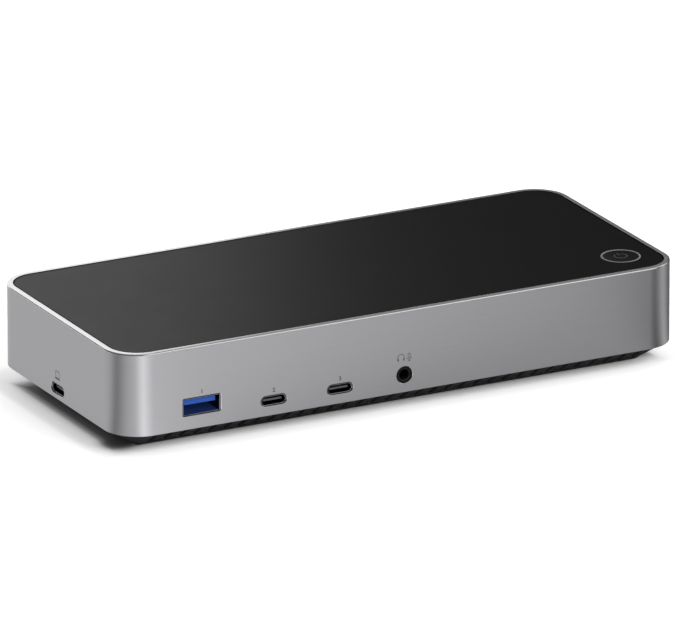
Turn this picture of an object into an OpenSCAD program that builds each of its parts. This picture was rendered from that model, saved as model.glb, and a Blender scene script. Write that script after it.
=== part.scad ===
// Laptop docking station: an aluminium housing over a black vented base.
// Origin: the middle of the footprint, on the table. +X runs to the right along
// the front, +Y to the back, +Z up. Millimetres.

/* [Body] */
// Width of the housing
body_w = 200; // [198:1:210]
// Depth of the housing, front to back
body_d = 89.3; // [89:0.1:94]
// Height of the aluminium housing without the base
housing_h = 27.1; // [26.5:0.1:30]
// Radius of the upright corners
corner_r = 11.7; // [11.2:0.1:13]
// Thickness of the housing's walls
wall = 2; // [1.6:0.1:2.2]
// Width of the bare metal rim around the top panel
rim_w = 1.85; // [1.5:0.05:1.95]
// Polished chamfer along the top edge
edge_chamfer = 0.45; // [0.3:0.05:0.6]

/* [Top panel] */
// Thickness of the black top panel
panel_t = 1.2; // [1:0.1:1.5]
// Gap between the panel and the metal rim
panel_gap = 0.3; // [0.2:0.05:0.35]
// Bevel along the panel's upper edge
panel_bevel = 0.4; // [0.2:0.05:0.5]

/* [Base] */
// Height of the sloping flank
flank_h = 6.5; // [6.3:0.1:7]
// How far the flank's top edge stands in from the housing
flank_top_inset = 1; // [0.8:0.1:1.2]
// How far the flank's bottom edge stands in from the housing
flank_low_inset = 10.7; // [10.2:0.1:10.9]
// Distance from one vent slot to the next
vent_pitch = 5.22; // [4.5:0.01:6.5]
// Width of a vent slot
vent_w = 1.8; // [1.2:0.1:2.4]
// How far the rubber feet stand proud of the base
foot_proud = 0.9; // [0.6:0.1:1.4]

/* [Power button] */
// Place of the button, to the right of the middle
button_x = 86; // [85:0.1:86.5]
// Place of the button, in front of the middle
button_y = -28.9; // [-29:0.1:-27.5]
// Outer diameter of the light ring
ring_d = 12.9; // [12.6:0.1:13.4]
// How far the button goes down
button_travel = 0.5; // [0.3:0.05:0.6]

/* [Hidden] */
$fn = 64;

// Heights, from the table up
foot_t = foot_proud + 0.6;
base_z = foot_proud;
housing_z = base_z + flank_h;
top_z = housing_z + housing_h;
panel_drop = 0.1;
deck_top = top_z - panel_drop - panel_t;
deck_t = 1.8;
deck_low = deck_top - deck_t;
deck_gap = 0.1;
ledge_w = 1.2;
ledge_t = 1.5;
board_t = 1.6;
board_low = housing_z + 1.6;
board_top = board_low + board_t;

// Base cover
base_wall = 1.8;
base_floor = 2;
flank_run = flank_low_inset - flank_top_inset;
flank_angle = atan2(flank_h, flank_run);
flank_len = sqrt(flank_run * flank_run + flank_h * flank_h);
flank_wall_in = base_wall / sin(flank_angle);
vent_len = flank_len - 3.1;
lip_h = 1.2;
lip_t = 1.2;
lip_gap = 0.3;
foot_y = 27;
foot_len = 172;
foot_w = 8;
foot_r = 3;
foot_bevel = 0.4;
foot_gap = 0.2;

// Screws: the base is held by four long posts, the boards by short ones
base_posts = [[-62, -27], [62, -27], [-80, 27], [80, 27]];
main_posts = [[-89, 34], [89, 34], [89, -6], [-89, -14], [24, -33]];
front_posts = [[-55, -33], [9, -33]];
button_posts = [[75.6, -32.5], [90.5, -16.5]];
base_post_r = 3.4;
base_post_low = housing_z + 0.6;
board_post_r = 2.6;
small_post_r = 2.2;
post_root = 0.5;
base_screw_r = 1.4;
base_screw_len = 11.5;
base_thread = 8;
board_screw_r = 1.1;
board_screw_len = 6.5;
board_thread = 6;
small_screw_r = 0.8;
small_screw_len = 6;
small_thread = 5;
screw_gap = 0.1;
passing_gap = 0.3;
tower_r = 4.6;
tower_h = 5;
head_hole_r = 3.1;
head_seat = 2.5;

// Sockets: how deep their mouths sit in the wall, and the gap around them
mouth_in = 0.3;
cut_gap = 0.12;
sheet_t = 0.3;

// Flat socket (Type-A)
type_a = [13.14, 5.72, 14];
front_type_a_pos = [-71.7, housing_z + 7.3];
rear_type_a_z = board_top + 1 + type_a[1] / 2;
rear_type_a_1_x = 31;
rear_type_a_2_x = 14;

// Oval socket (Type-C)
type_c = [8.94, 3.26, 7.9];
type_c_z = board_top + type_c[1] / 2;
front_type_c_1_x = -46.4;
front_type_c_2_x = -23;
host_type_c_y = 0;
host_type_c_z = housing_z + 3.25;

// Audio jack
jack_x = -0.1;
jack_bore_r = 1.8;
jack_nose_r = 2.7;
jack_body = [6.6, 12.4, 5];
jack_z = board_top + jack_body[2] / 2;

// Rear row
inlet_x = 68;
inlet_body = [9, 14, 11];
inlet_mouth = 8.3;
inlet_mouth_r = 1.4;
inlet_z = board_top + 6;
inlet_bore_r = 3.2;
network_x = 50;
network_body = [16, 21.3, 13.5];
network_z = board_top + network_body[2] / 2;
// the stepped mouth: width, height, depth and middle of each step
network_steps = [[11.9, 7.2, 14, 0], [6.4, 1.8, 9, -4.4], [3.4, 1.4, 7, -5.7]];
video = [15, 5.6, 12];
video_cut_w = 1.9;
video_cut_z = -0.6;
video_z = board_top + video[1] / 2;
video_1_x = -3.5;
video_2_x = -21.5;
screen = [17.4, 6, 15];
screen_cut = 2;
screen_z = board_top + screen[1] / 2;
screen_1_x = -40;
screen_2_x = -60;

// Button, switch and their board, from the top down
ring_gap = 0.15;
ring_bore_r = ring_d / 2 - 0.6;
cap_r = ring_bore_r - 0.06;
cap_edge = 0.25;
cap_wall = 1.1;
cap_face = 1.4;
stem_r = 1.6;
led_ring_r = 6.2;
cap_top = top_z - panel_drop;
ring_flange_r = ring_d / 2 + 1.6;
ring_low = deck_low - 0.8;
cap_flange_r = ring_bore_r + 1.2;
cap_low = ring_low - 0.9;
button_board_top = deck_low - 9.4;
button_board_t = 1.6;
switch_w = 6;
switch_h = 3.15;
plunger_r = 1.75;
plunger_top = button_board_top + 4.6;
plunger_low = 2.2;
dome_z = 0.5;
dome_rim_h = 0.35;

// Ribbons
ribbon_t = 0.3;
ribbon_w = 6;
ribbon_y = -18;
ribbon_top_z = button_board_top - button_board_t - 1;
ribbon_low_z = board_top + 1;
ribbon_bend = 3;
link_x = -34;
link_w = 20;
link_y = -21;
link_r = 4.5;
link_z = board_top + 7;

// Heat sink
sink_x = -16;
sink_y = 7;
sink = [40, 34, 13];
sink_base_t = 3;
fin_count = 11;
fin_t = 1.2;
chip_w = 21;
chip_t = 1.4;
pad_t = 0.8;

// ---------- shared shapes ----------

// A rectangle with round corners
module rounded_outline(w, d, r) {
    square([w - 2 * r, d], center = true);
    square([w, d - 2 * r], center = true);
    for (x = [-1, 1], y = [-1, 1])
        translate([x * (w / 2 - r), y * (d / 2 - r)]) circle(r);
}

module rounded_slab(w, d, r, h) {
    linear_extrude(h) rounded_outline(w, d, r);
}

// A slab whose sides lean: low_in and top_in are how far its outline stands in from
// the given rectangle at the bottom and at the top. The corners are true cones.
module leaning_slab(w, d, r, h, low_in, top_in) {
    straight_w = w - 2 * r;
    straight_d = d - 2 * r;
    rotate([90, 0, 90]) translate([0, 0, -straight_w / 2]) linear_extrude(straight_w)
        polygon([[-d / 2 + low_in, 0], [d / 2 - low_in, 0], [d / 2 - top_in, h], [-d / 2 + top_in, h]]);
    rotate([90, 0, 0]) translate([0, 0, -straight_d / 2]) linear_extrude(straight_d)
        polygon([[-w / 2 + low_in, 0], [w / 2 - low_in, 0], [w / 2 - top_in, h], [-w / 2 + top_in, h]]);
    for (x = [-1, 1], y = [-1, 1])
        translate([x * straight_w / 2, y * straight_d / 2, 0])
            cylinder(h = h, r1 = r - low_in, r2 = r - top_in);
}

// An upright block given by its middle in X and Y and its lowest face
module block(w, d, h) {
    translate([-w / 2, -d / 2, 0]) cube([w, d, h]);
}

// Lays a flat outline upright, facing the front, and gives it its depth to the back
module upright(depth) {
    translate([0, depth, 0]) rotate([90, 0, 0]) linear_extrude(depth) children();
}

// Sockets are drawn with their mouth at the origin, open to the front
module at_front(x, z) {
    translate([x, -body_d / 2 + mouth_in, z]) children();
}

module at_rear(x, z) {
    translate([x, body_d / 2 - mouth_in, z]) rotate([0, 0, 180]) children();
}

module at_left(y, z) {
    translate([-body_w / 2 + mouth_in, y, z]) rotate([0, 0, -90]) children();
}

module at_each(places) {
    for (p = places) translate([p[0], p[1], 0]) children();
}

// A cut through a wall, starting just outside it
module wall_cut() {
    translate([0, -mouth_in - 1, 0]) upright(wall + 2) children();
}

// ---------- socket outlines ----------

module type_a_outline(grow) {
    rounded_outline(type_a[0] + 2 * grow, type_a[1] + 2 * grow, 0.5 + max(grow, -0.4));
}

module type_c_outline(grow) {
    r = type_c[1] / 2 + grow;
    square([type_c[0] - type_c[1], 2 * r], center = true);
    for (x = [-1, 1]) translate([x * (type_c[0] - type_c[1]) / 2, 0]) circle(r);
}

module video_outline(grow) {
    w = video[0] / 2 + grow;
    h = video[1] / 2 + grow;
    polygon([[-w, h], [w, h], [w, video_cut_z], [w - video_cut_w, -h],
             [-w + video_cut_w, -h], [-w, video_cut_z]]);
}

module screen_outline(grow) {
    w = screen[0] / 2 + grow;
    h = screen[1] / 2 + grow;
    polygon([[-w, h], [w, h], [w, -h], [-w + screen_cut, -h], [-w, -h + screen_cut]]);
}

module inlet_outline(grow) {
    side = inlet_mouth + 2 * grow;
    rounded_outline(side, side, inlet_mouth_r + grow);
}

// ---------- housing, panel and base ----------

module power_opening(r, low, high) {
    translate([button_x, button_y, low]) cylinder(h = high - low, r = r);
}

// A post from a given height up into the deck
module post(low, r) {
    translate([0, 0, low]) cylinder(h = deck_low + post_root - low, r = r);
}

module deck_posts() {
    at_each(base_posts)
        post(base_post_low, base_post_r);
    at_each(concat(main_posts, front_posts))
        post(board_top, board_post_r);
    at_each(button_posts)
        post(button_board_top, small_post_r);
}

module thread_hole(low, length, r) {
    translate([0, 0, low - 1]) cylinder(h = length + 1, r = r + screw_gap);
}

module thread_holes() {
    at_each(base_posts) thread_hole(base_post_low, base_thread, base_screw_r);
    at_each(concat(main_posts, front_posts)) thread_hole(board_top, board_thread, board_screw_r);
    at_each(button_posts) thread_hole(button_board_top, small_thread, small_screw_r);
}

module housing_ports() {
    at_front(front_type_a_pos[0], front_type_a_pos[1]) wall_cut() type_a_outline(cut_gap);
    for (x = [front_type_c_1_x, front_type_c_2_x])
        at_front(x, type_c_z) wall_cut() type_c_outline(cut_gap);
    at_front(jack_x, jack_z) wall_cut() circle(jack_nose_r + cut_gap);
    at_left(host_type_c_y, host_type_c_z) wall_cut() type_c_outline(cut_gap);
    at_rear(inlet_x, inlet_z) wall_cut() inlet_outline(0.15);
    at_rear(network_x, network_z)
        wall_cut() square([network_body[0] + 2 * cut_gap, network_body[2] + 2 * cut_gap], center = true);
    for (x = [rear_type_a_1_x, rear_type_a_2_x])
        at_rear(x, rear_type_a_z) wall_cut() type_a_outline(cut_gap);
    for (x = [video_1_x, video_2_x]) at_rear(x, video_z) wall_cut() video_outline(cut_gap);
    for (x = [screen_1_x, screen_2_x]) at_rear(x, screen_z) wall_cut() screen_outline(cut_gap);
}

// The housing's inner outline, a given distance in from its outer faces
module housing_inside(inset, low, high) {
    translate([0, 0, low])
        rounded_slab(body_w - 2 * inset, body_d - 2 * inset, corner_r - inset, high - low);
}

// Aluminium housing: four walls, with a ledge all round that carries the deck
module housing() {
    color([0.62, 0.63, 0.65]) difference() {
        union() {
            translate([0, 0, housing_z])
                rounded_slab(body_w, body_d, corner_r, housing_h - edge_chamfer);
            translate([0, 0, top_z - edge_chamfer])
                leaning_slab(body_w, body_d, corner_r, edge_chamfer, 0, edge_chamfer);
        }
        housing_inside(rim_w, deck_top, top_z + 1);
        housing_inside(wall, deck_low, deck_top + 0.5);
        housing_inside(wall + ledge_w, deck_low - ledge_t - 1, deck_low + 1);
        housing_inside(wall, housing_z - 1, deck_low - ledge_t);
        housing_ports();
    }
}

// Moulded deck under the panel. It rests on the ledge, and its posts take the screws.
module deck_frame() {
    color([0.16, 0.16, 0.17]) difference() {
        union() {
            housing_inside(wall + deck_gap, deck_low, deck_top);
            deck_posts();
        }
        thread_holes();
        power_opening(ring_d / 2 + 2 * ring_gap, deck_low - 1, deck_top + 1);
    }
}

// Black panel let into the rim, its upper edge broken by a small bevel
module top_panel() {
    inset = rim_w + panel_gap;
    w = body_w - 2 * inset;
    d = body_d - 2 * inset;
    color([0.13, 0.13, 0.14]) difference() {
        translate([0, 0, deck_top]) {
            rounded_slab(w, d, corner_r - inset, panel_t - panel_bevel);
            translate([0, 0, panel_t - panel_bevel])
                leaning_slab(w, d, corner_r - inset, panel_bevel, 0, panel_bevel);
        }
        power_opening(ring_d / 2 + ring_gap, deck_top - 1, top_z + 1);
    }
}

// One row of vent slots, square to the flank that faces the front
module vent_row(half_depth, straight) {
    count = floor((straight - vent_w) / vent_pitch);
    mid = (flank_low_inset + flank_top_inset) / 2;
    for (i = [0:count])
        translate([(i - count / 2) * vent_pitch, -half_depth + mid, housing_z - flank_h / 2])
            rotate([180 - flank_angle, 0, 0])
                translate([0, 0, -base_wall - 0.6]) linear_extrude(base_wall + 1.6)
                    vent_outline();
}

module vent_outline() {
    run = vent_len - vent_w;
    square([vent_w, run], center = true);
    for (y = [-1, 1]) translate([0, y * run / 2]) circle(vent_w / 2, $fn = 24);
}

module vents() {
    for (turn = [0, 180]) rotate([0, 0, turn]) vent_row(body_d / 2, body_w - 2 * corner_r);
    for (turn = [90, 270]) rotate([0, 0, turn]) vent_row(body_w / 2, body_d - 2 * corner_r);
}

// Black base: a tray with a sloping slotted flank, a lip that locates it in the
// housing, and towers for the screws
module base_cover() {
    inner_h = flank_h - base_floor + 1;
    inner_low = flank_low_inset - flank_run * base_floor / flank_h + flank_wall_in;
    inner_top = inner_low - flank_run * inner_h / flank_h;
    lip_in = wall + lip_gap;
    color([0.09, 0.09, 0.1]) difference() {
        union() {
            difference() {
                translate([0, 0, base_z])
                    leaning_slab(body_w, body_d, corner_r, flank_h, flank_low_inset, flank_top_inset);
                translate([0, 0, base_z + base_floor])
                    leaning_slab(body_w, body_d, corner_r, inner_h, inner_low, inner_top);
            }
            translate([0, 0, housing_z]) difference() {
                rounded_slab(body_w - 2 * lip_in, body_d - 2 * lip_in, corner_r - lip_in, lip_h);
                translate([0, 0, -1])
                    rounded_slab(body_w - 2 * (lip_in + lip_t), body_d - 2 * (lip_in + lip_t),
                                 corner_r - lip_in - lip_t, lip_h + 2);
            }
            at_each(base_posts) {
                translate([0, 0, base_z + 1]) cylinder(h = tower_h - 1, r = tower_r);
                translate([0, 0, base_z + 1]) cylinder(h = base_post_low - base_z - 1, r = base_post_r);
            }
        }
        vents();
        at_each(base_posts) {
            translate([0, 0, base_z - 1]) cylinder(h = head_seat + 1, r = head_hole_r);
            cylinder(h = housing_z + 5, r = base_screw_r + passing_gap);
        }
        for (y = [-foot_y, foot_y])
            translate([0, y, base_z - 1])
                rounded_slab(foot_len + 2 * foot_gap, foot_w + 2 * foot_gap, foot_r + foot_gap,
                             foot_t - foot_proud + 1);
    }
}

// Rubber strip with round corners, let into the base
module foot(y) {
    color([0.07, 0.07, 0.07]) translate([0, y, 0]) {
        leaning_slab(foot_len, foot_w, foot_r, foot_bevel, foot_bevel, 0);
        translate([0, 0, foot_bevel]) rounded_slab(foot_len, foot_w, foot_r, foot_t - foot_bevel);
    }
}

module foot_front() {
    foot(-foot_y);
}

module foot_rear() {
    foot(foot_y);
}

// A pan-head screw pointing up: its head's seat is at z
module screw(z, head_r, head_h, shank_r, length) {
    translate([0, 0, z - head_h]) difference() {
        cylinder(h = head_h, r = head_r);
        translate([0, 0, -1]) cylinder(h = head_h * 0.5 + 1, r = head_r * 0.45, $fn = 6);
    }
    translate([0, 0, z]) cylinder(h = length, r = shank_r);
}

module base_screws() {
    color([0.25, 0.25, 0.26]) at_each(base_posts)
        screw(base_z + head_seat, 2.75, 1.8, base_screw_r, base_screw_len);
}

// ---------- boards ----------

module post_holes(places, r) {
    at_each(places) translate([0, 0, board_low - 1]) cylinder(h = board_t + 2, r = r);
}

// Main board: it leaves room at the front for the front board, and a notch on the
// left in which the host socket hangs
module main_board() {
    half_w = body_w / 2 - 4.5;
    back = body_d / 2 - 3.1;
    corner = 7;
    front = -19.5;
    arm_x = 18;
    arm_front = -38;
    notch_w = type_c[0] + 0.4;
    notch_end = type_c[2] - body_w / 2 + mouth_in + 0.3;
    color([0.05, 0.25, 0.14]) difference() {
        translate([0, 0, board_low]) linear_extrude(board_t) difference() {
            polygon([[-half_w, front], [arm_x, front], [arm_x, arm_front],
                     [half_w - 6, arm_front], [half_w, arm_front + 6],
                     [half_w, back - corner], [half_w - corner, back],
                     [-half_w + corner, back], [-half_w, back - corner]]);
            translate([-half_w - 1, host_type_c_y - notch_w / 2])
                square([notch_end + half_w + 1, notch_w]);
        }
        post_holes(base_posts, base_post_r + 0.5);
        post_holes(main_posts, board_screw_r + passing_gap);
    }
}

// Front board: it carries the front sockets and the audio jack
module front_board() {
    color([0.05, 0.25, 0.14]) difference() {
        translate([-85, -41.3, board_low]) cube([99, 18.8, board_t]);
        post_holes(base_posts, base_post_r + 0.5);
        post_holes(front_posts, board_screw_r + passing_gap);
    }
}

module board_screws() {
    color([0.7, 0.7, 0.72]) at_each(concat(main_posts, front_posts))
        screw(board_low, 2.2, 1.3, board_screw_r, board_screw_len);
}

// ---------- power button ----------

// Cap: a hollow moulding with a flange that keeps it under the ring, and a stem
module button_cap() {
    color([0.1, 0.1, 0.11]) translate([button_x, button_y, 0]) {
        difference() {
            union() {
                translate([0, 0, ring_low]) cylinder(h = cap_top - cap_edge - ring_low, r = cap_r);
                translate([0, 0, cap_top - cap_edge])
                    cylinder(h = cap_edge, r1 = cap_r, r2 = cap_r - cap_edge);
                translate([0, 0, cap_low]) cylinder(h = ring_low - cap_low, r = cap_flange_r);
            }
            translate([0, 0, cap_low - 1])
                cylinder(h = cap_top - cap_face - cap_low + 1, r = cap_r - cap_wall);
        }
        translate([0, 0, plunger_top]) cylinder(h = cap_top - cap_face + 0.4 - plunger_top, r = stem_r);
    }
}

// Light guide: a tube flush with the panel, with a flange under the deck
module button_light_ring() {
    color([0.85, 0.86, 0.88]) translate([button_x, button_y, 0]) difference() {
        union() {
            translate([0, 0, ring_low]) cylinder(h = deck_low - ring_low, r = ring_flange_r);
            translate([0, 0, deck_low]) cylinder(h = cap_top - deck_low, r = ring_d / 2);
        }
        translate([0, 0, ring_low - 1]) cylinder(h = top_z, r = ring_bore_r);
    }
}

module button_board() {
    color([0.05, 0.25, 0.14]) difference() {
        translate([72.5, -36, button_board_top - button_board_t]) cube([22, 23, button_board_t]);
        at_each(button_posts) cylinder(h = top_z, r = small_screw_r + 0.2);
    }
}

module button_board_screws() {
    color([0.7, 0.7, 0.72]) at_each(button_posts)
        screw(button_board_top - button_board_t, 1.6, 1, small_screw_r, small_screw_len);
}

// Push switch: a square cup with a cover plate around its plunger
module switch_body() {
    cavity_r = 2.5;
    cover_t = 0.3;
    color([0.15, 0.15, 0.16]) translate([button_x, button_y, button_board_top]) difference() {
        block(switch_w, switch_w, switch_h);
        translate([0, 0, dome_z]) cylinder(h = switch_h - cover_t - dome_z, r = cavity_r);
        cylinder(h = switch_h + 1, r = plunger_r + 0.05);
        translate([0, 0, -1]) block(1, 1, 1);
    }
    color([0.15, 0.15, 0.16]) translate([button_x, button_y, button_board_top])
        cylinder(h = dome_z, r = cavity_r);
}

module switch_plunger() {
    color([0.55, 0.12, 0.1]) translate([button_x, button_y, button_board_top]) {
        translate([0, 0, plunger_low]) cylinder(h = 0.55, r = 2.3);
        translate([0, 0, plunger_low + 0.5])
            cylinder(h = plunger_top - button_board_top - plunger_low - 0.5, r = plunger_r);
    }
}

// Contact dome, drawn as it lies when the plunger is down
module switch_dome() {
    crown_h = plunger_low - button_travel - 0.05 - dome_z - dome_rim_h;
    color([0.75, 0.72, 0.6]) translate([button_x, button_y, button_board_top + dome_z]) {
        cylinder(h = dome_rim_h, r = 2.2);
        translate([0, 0, dome_rim_h]) cylinder(h = crown_h, r1 = 1.9, r2 = 0.8);
    }
}

// Four LEDs on the button board, under the light ring's flange
module ring_leds() {
    color([0.95, 0.95, 0.85]) for (turn = [45, 135, 225, 315])
        translate([button_x, button_y, button_board_top]) rotate([0, 0, turn])
            translate([led_ring_r, 0, 0]) block(1.6, 0.8, 0.7);
}

// ---------- ribbons and their sockets ----------

// A quarter bend of ribbon in the upright plane, centred on the origin
module quarter_bend(r, turn) {
    rotate(turn) intersection() {
        difference() {
            circle(r + ribbon_t / 2);
            circle(r - ribbon_t / 2);
        }
        square(r + ribbon_t);
    }
}

// The ribbon leaves the button board to the left, bends down, and bends to the
// left again into the socket on the main board
module button_ribbon() {
    top_end = 72;
    top_bend_x = 69;
    low_bend_x = top_bend_x - 2 * ribbon_bend;
    color([0.85, 0.85, 0.88]) translate([0, ribbon_y + ribbon_w / 2, 0]) rotate([90, 0, 0])
        linear_extrude(ribbon_w) {
            translate([top_bend_x, ribbon_top_z - ribbon_t / 2])
                square([top_end - top_bend_x, ribbon_t]);
            translate([top_bend_x, ribbon_top_z - ribbon_bend]) quarter_bend(ribbon_bend, 90);
            translate([top_bend_x - ribbon_bend - ribbon_t / 2, ribbon_low_z + ribbon_bend])
                square([ribbon_t, ribbon_top_z - ribbon_low_z - 2 * ribbon_bend]);
            translate([low_bend_x, ribbon_low_z + ribbon_bend]) quarter_bend(ribbon_bend, 270);
            translate([low_bend_x - 2, ribbon_low_z - ribbon_t / 2]) square([2, ribbon_t]);
        }
}

module button_ribbon_sockets() {
    low_end = 69 - 2 * ribbon_bend - 2;
    color([0.9, 0.89, 0.84]) {
        translate([74.5, ribbon_y, ribbon_top_z - 1]) block(5, 8, 2);
        translate([low_end - 2.5, ribbon_y, board_top]) block(5, 8, 2);
    }
}

// The link between the boards: up, over in a half turn and down
module link_ribbon() {
    color([0.85, 0.85, 0.88]) translate([link_x - link_w / 2, link_y, 0]) rotate([90, 0, 90])
        linear_extrude(link_w) {
            translate([0, link_z]) {
                quarter_bend(link_r, 0);
                quarter_bend(link_r, 90);
            }
            for (y = [-link_r, link_r])
                translate([y - ribbon_t / 2, board_top + 2]) square([ribbon_t, link_z - board_top - 2]);
        }
}

module link_sockets() {
    color([0.9, 0.89, 0.84]) for (y = [-link_r, link_r])
        translate([link_x, link_y + y, board_top]) block(link_w + 2.5, 2.8, 2);
}

// ---------- front and side sockets ----------

// A pressed sheet tube with a closed back
module sheet_shell(depth) {
    difference() {
        upright(depth) children(0);
        translate([0, -1, 0]) upright(depth + 1 - sheet_t) children(1);
    }
}

// Flat socket: steel shell, its legs down to the board
module type_a_shell(z) {
    leg_h = z - type_a[1] / 2 - board_top;
    color([0.75, 0.75, 0.77]) {
        sheet_shell(type_a[2]) {
            type_a_outline(0);
            type_a_outline(-sheet_t);
        }
        for (x = [-1, 1], y = [4.2, 10.5])
            translate([x * (type_a[0] / 2 - 0.65) - 0.15, y, -type_a[1] / 2 - leg_h])
                cube([0.3, 1.8, leg_h + 0.15]);
    }
}

// Its tongue stands out from a block that fills the back of the shell
module type_a_tongue() {
    back = type_a[2] - sheet_t;
    block_t = 3.2;
    tongue = [11.1, back - block_t - 1.2, 1.9];
    color([0.1, 0.3, 0.75]) {
        translate([0, back - block_t, 0]) upright(block_t) type_a_outline(-sheet_t);
        translate([-tongue[0] / 2, 1.4, 0.25]) cube(tongue);
    }
}

module type_a_contacts() {
    color([0.85, 0.68, 0.3]) for (x = [-3.5, -1, 1, 3.5])
        translate([x - 0.5, 2.2, 0.05]) cube([1, 8, 0.2]);
}

// Oval socket: steel shell
module type_c_shell() {
    color([0.75, 0.75, 0.77]) sheet_shell(type_c[2]) {
        type_c_outline(0);
        type_c_outline(-sheet_t);
    }
}

module type_c_tongue() {
    back = type_c[2] - sheet_t;
    block_t = 2;
    tongue = [6.7, back - block_t - 0.7, 0.7];
    color([0.08, 0.08, 0.09]) {
        translate([0, back - block_t, 0]) upright(block_t) type_c_outline(-sheet_t);
        translate([-tongue[0] / 2, 0.9, -tongue[2] / 2]) cube(tongue);
    }
}

module front_type_a_shell() {
    at_front(front_type_a_pos[0], front_type_a_pos[1]) type_a_shell(front_type_a_pos[1]);
}

module front_type_a_tongue() {
    at_front(front_type_a_pos[0], front_type_a_pos[1]) type_a_tongue();
}

module front_type_a_contacts() {
    at_front(front_type_a_pos[0], front_type_a_pos[1]) type_a_contacts();
}

module front_type_c_1_shell() {
    at_front(front_type_c_1_x, type_c_z) type_c_shell();
}

module front_type_c_1_tongue() {
    at_front(front_type_c_1_x, type_c_z) type_c_tongue();
}

module front_type_c_2_shell() {
    at_front(front_type_c_2_x, type_c_z) type_c_shell();
}

module front_type_c_2_tongue() {
    at_front(front_type_c_2_x, type_c_z) type_c_tongue();
}

module host_type_c_shell() {
    at_left(host_type_c_y, host_type_c_z) type_c_shell();
}

module host_type_c_tongue() {
    at_left(host_type_c_y, host_type_c_z) type_c_tongue();
}

// Audio jack: a round nose through the wall and a block behind it, one bore
module audio_jack_body() {
    nose = wall - mouth_in + 0.1;
    color([0.06, 0.06, 0.06]) at_front(jack_x, jack_z) difference() {
        union() {
            upright(nose + 1) circle(jack_nose_r);
            translate([-jack_body[0] / 2, nose, -jack_body[2] / 2])
                cube([jack_body[0], jack_body[1] - nose, jack_body[2]]);
        }
        translate([0, -1, 0]) upright(jack_body[1]) circle(jack_bore_r);
    }
}

// Its solder tabs, beside the block
module audio_jack_tabs() {
    color([0.75, 0.75, 0.77]) at_front(jack_x, jack_z)
        for (x = [-1, 1], y = [4.5, 9.5])
            translate([x * (jack_body[0] / 2 + 0.5) - 0.5, y, -jack_body[2] / 2]) cube([1, 1.4, 0.3]);
}

// ---------- rear sockets ----------

// Power inlet: a block with a round bore and a centre pin
module power_inlet_body() {
    color([0.06, 0.06, 0.06]) at_rear(inlet_x, inlet_z) difference() {
        union() {
            upright(4) inlet_outline(0);
            translate([-inlet_body[0] / 2, wall - mouth_in + 0.1, board_top - inlet_z])
                cube([inlet_body[0], inlet_body[1] - wall, inlet_body[2]]);
        }
        translate([0, -1, 0]) upright(10.5) circle(inlet_bore_r);
    }
}

module power_inlet_pin() {
    color([0.85, 0.85, 0.87]) at_rear(inlet_x, inlet_z)
        translate([0, 0.8, 0]) upright(8.7) circle(1.25);
}

// Network jack: a steel shield around an insert with the stepped mouth
module network_jack_shield() {
    color([0.75, 0.75, 0.77])
        at_rear(network_x, network_z) sheet_shell(network_body[1]) {
            square([network_body[0], network_body[2]], center = true);
            square([network_body[0] - 2 * sheet_t, network_body[2] - 2 * sheet_t], center = true);
        }
}

module network_jack_insert() {
    color([0.07, 0.07, 0.07]) at_rear(network_x, network_z) difference() {
        translate([0, 0.3, 0]) upright(network_body[1] - sheet_t - 0.3)
            square([network_body[0] - 2 * sheet_t, network_body[2] - 2 * sheet_t], center = true);
        for (step = network_steps)
            translate([0, -1, step[3]]) upright(step[2] + 1) square([step[0], step[1]], center = true);
    }
}

module network_jack_contacts() {
    color([0.85, 0.68, 0.3]) at_rear(network_x, network_z)
        for (i = [0:7])
            translate([(i - 3.5) * 1.02 - 0.2, 2.5, 3.2]) cube([0.4, 9, 0.4]);
}

module rear_type_a_1_shell() {
    at_rear(rear_type_a_1_x, rear_type_a_z) type_a_shell(rear_type_a_z);
}

module rear_type_a_1_tongue() {
    at_rear(rear_type_a_1_x, rear_type_a_z) type_a_tongue();
}

module rear_type_a_2_shell() {
    at_rear(rear_type_a_2_x, rear_type_a_z) type_a_shell(rear_type_a_z);
}

module rear_type_a_2_tongue() {
    at_rear(rear_type_a_2_x, rear_type_a_z) type_a_tongue();
}

// Video socket: a wide mouth that narrows below
module video_shell() {
    color([0.75, 0.75, 0.77]) sheet_shell(video[2]) {
        video_outline(0);
        video_outline(-sheet_t);
    }
}

module video_tongue() {
    back = video[2] - sheet_t;
    block_t = 2.5;
    tongue = [10.4, back - block_t - 1, 1.1];
    color([0.07, 0.07, 0.07]) {
        translate([0, back - block_t, 0]) upright(block_t) video_outline(-sheet_t);
        translate([-tongue[0] / 2, 1.2, 0.1]) cube(tongue);
    }
}

// Screen socket: a wide mouth with one cut corner
module screen_shell() {
    color([0.75, 0.75, 0.77]) sheet_shell(screen[2]) {
        screen_outline(0);
        screen_outline(-sheet_t);
    }
}

module screen_tongue() {
    back = screen[2] - sheet_t;
    block_t = 3;
    tongue = [13.2, back - block_t - 1.2, 1.3];
    color([0.07, 0.07, 0.07]) {
        translate([0, back - block_t, 0]) upright(block_t) screen_outline(-sheet_t);
        translate([-tongue[0] / 2, 1.4, -0.2]) cube(tongue);
    }
}

module video_port_1_shell() {
    at_rear(video_1_x, video_z) video_shell();
}

module video_port_1_tongue() {
    at_rear(video_1_x, video_z) video_tongue();
}

module video_port_2_shell() {
    at_rear(video_2_x, video_z) video_shell();
}

module video_port_2_tongue() {
    at_rear(video_2_x, video_z) video_tongue();
}

module screen_port_1_shell() {
    at_rear(screen_1_x, screen_z) screen_shell();
}

module screen_port_1_tongue() {
    at_rear(screen_1_x, screen_z) screen_tongue();
}

module screen_port_2_shell() {
    at_rear(screen_2_x, screen_z) screen_shell();
}

module screen_port_2_tongue() {
    at_rear(screen_2_x, screen_z) screen_tongue();
}

// ---------- parts on the main board ----------

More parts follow.
